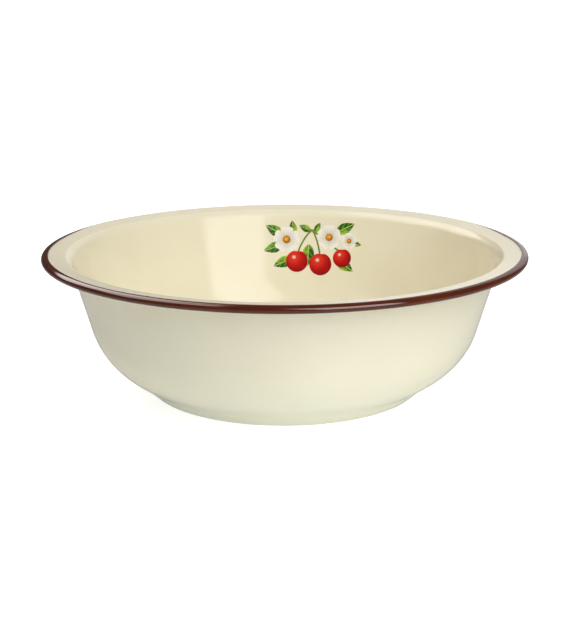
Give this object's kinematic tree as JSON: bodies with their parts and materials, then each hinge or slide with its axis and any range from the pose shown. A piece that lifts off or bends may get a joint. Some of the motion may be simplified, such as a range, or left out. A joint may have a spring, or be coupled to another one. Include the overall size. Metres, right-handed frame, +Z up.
{
  "type": "basin bowl",
  "caption": "Round enamelled steel basin bowl with a stepped foot, a rounded belly, a turned-out flange and a rolled rim, open at the top for washing, mixing or serving.",
  "frame": {"origin": "on the bowl's axis, in the plane that its foot stands on", "axes": "+Z up along the axis of revolution, +Y towards the back wall that carries the print, +X to the right of someone who faces it"},
  "size_m": [0.32, 0.32, 0.0944],
  "materials": {
    "sheet_steel": "pickled low-carbon sheet, covered by enamel on both faces",
    "ground_enamel": "dark ground coat, fired",
    "cream_enamel": "glossy cream vitreous enamel",
    "brown_enamel": "glossy brown vitreous enamel",
    "leaf_colour": "fired print colour under gloss",
    "stem_colour": "fired print colour under gloss",
    "berry_colour": "fired print colour under gloss",
    "petal_colour": "fired print colour under gloss",
    "centre_colour": "fired print colour under gloss"
  },
  "bodies": {
    "root": {"steel_shell": "sheet_steel", "ground_coat_inside": "ground_enamel", "ground_coat_outside": "ground_enamel", "cover_coat_inside": "cream_enamel", "cover_coat_outside": "cream_enamel", "rim_enamel": "brown_enamel", "print_leaves": "leaf_colour", "print_stems": "stem_colour", "print_berries": "berry_colour", "print_petals": "petal_colour", "print_centres": "centre_colour"}
  },
  "joints": []
}
